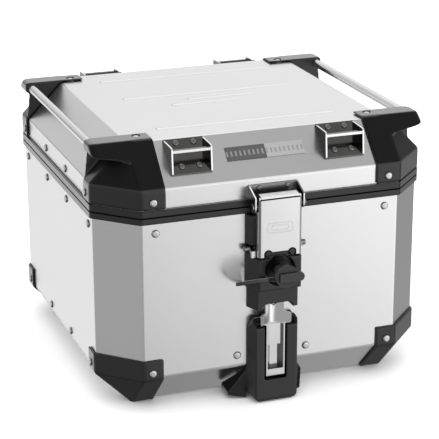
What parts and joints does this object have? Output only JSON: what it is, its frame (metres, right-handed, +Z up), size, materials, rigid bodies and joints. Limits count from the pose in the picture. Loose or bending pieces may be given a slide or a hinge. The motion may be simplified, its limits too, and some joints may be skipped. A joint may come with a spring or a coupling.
{
  "type": "top case",
  "caption": "Hard aluminium motorcycle top case: a folded box with chamfered corners, a rear-hinged lid, a front lever latch with key lock, side rails and a rack bracket.",
  "frame": {"origin": "on the ground under the middle of the box, in the middle of the floor's pressed pad", "axes": "+Z up, -Y towards the latch side (front), +X to the right seen from the front"},
  "size_m": [0.4296, 0.4816, 0.333],
  "materials": {
    "aluminium": "satin anodised sheet",
    "rivet_aluminium": "polished",
    "black_nylon": "fine moulded texture",
    "stainless": "bright satin",
    "polished_steel": "polished",
    "rubber": "matte",
    "badge_grey": "satin, two tones"
  },
  "bodies": {
    "case": {"body_wrap": "aluminium", "floor_pan": "aluminium", "body_rim": "black_nylon", "bottom_protector_front_left": "black_nylon", "bottom_protector_front_right": "black_nylon", "bottom_protector_rear_left": "black_nylon", "bottom_protector_rear_right": "black_nylon", "rivets_mouth_front": "rivet_aluminium", "rivets_mouth_right": "rivet_aluminium", "rivets_mouth_rear": "rivet_aluminium", "rivets_mouth_left": "rivet_aluminium", "rivets_floor_front": "rivet_aluminium", "rivets_floor_right": "rivet_aluminium", "rivets_floor_rear": "rivet_aluminium", "rivets_floor_left": "rivet_aluminium", "lock_housing": "black_nylon", "lock_backing_plate": "polished_steel", "catch_bar": "stainless", "rack_bracket": "black_nylon", "rack_lever_pin": "polished_steel", "hinge_body_leaf_left": "polished_steel", "hinge_body_leaf_right": "polished_steel", "hinge_pin_left": "polished_steel", "hinge_pin_right": "polished_steel"},
    "lid": {"lid_shell": "aluminium", "lid_rim": "black_nylon", "lid_seal": "rubber", "lid_corner_front_left": "black_nylon", "lid_corner_front_right": "black_nylon", "lid_corner_rear_left": "black_nylon", "lid_corner_rear_right": "black_nylon", "rivets_lid_front": "rivet_aluminium", "rivets_lid_right": "rivet_aluminium", "rivets_lid_rear": "rivet_aluminium", "rivets_lid_left": "rivet_aluminium", "badge_plate": "badge_grey", "hasp_bracket": "polished_steel", "latch_pin": "polished_steel", "side_rail_left": "stainless", "side_rail_right": "stainless", "strap_bracket_front_left": "polished_steel", "strap_bracket_front_right": "polished_steel", "strap_bracket_rear_left": "polished_steel", "strap_bracket_rear_right": "polished_steel", "hinge_lid_leaf_left": "polished_steel", "hinge_lid_leaf_right": "polished_steel"},
    "latch_lever": {"latch_lever": "stainless"},
    "key": {"lock_barrel": "polished_steel", "key": "black_nylon"},
    "dust_flap": {"dust_flap": "rubber"},
    "rack_lever": {"rack_lever": "stainless"}
  },
  "joints": [
    {"name": "lid_hinge", "type": "hinge", "parent": "case", "child": "lid", "pos_m": [0, 0.2165, 0.25175], "axis": [-1, 0, 0], "range_deg": [0, 75]},
    {"name": "latch_hinge", "type": "hinge", "parent": "lid", "child": "latch_lever", "pos_m": [0, -0.227, 0.255], "axis": [-1, 0, 0], "range_deg": [0, 100]},
    {"name": "key_turn", "type": "hinge", "parent": "case", "child": "key", "pos_m": [0, -0.24, 0.1745], "axis": [0, 1, 0], "range_deg": [0, 90]},
    {"name": "dust_flap_hinge", "type": "hinge", "parent": "case", "child": "dust_flap", "pos_m": [-0.0305, -0.2365, 0.1656], "axis": [-1, 0, 0], "range_deg": [0, 55]},
    {"name": "rack_lever_hinge", "type": "hinge", "parent": "case", "child": "rack_lever", "pos_m": [0, -0.2185, 0.038], "axis": [1, 0, 0], "range_deg": [0, 35]}
  ]
}
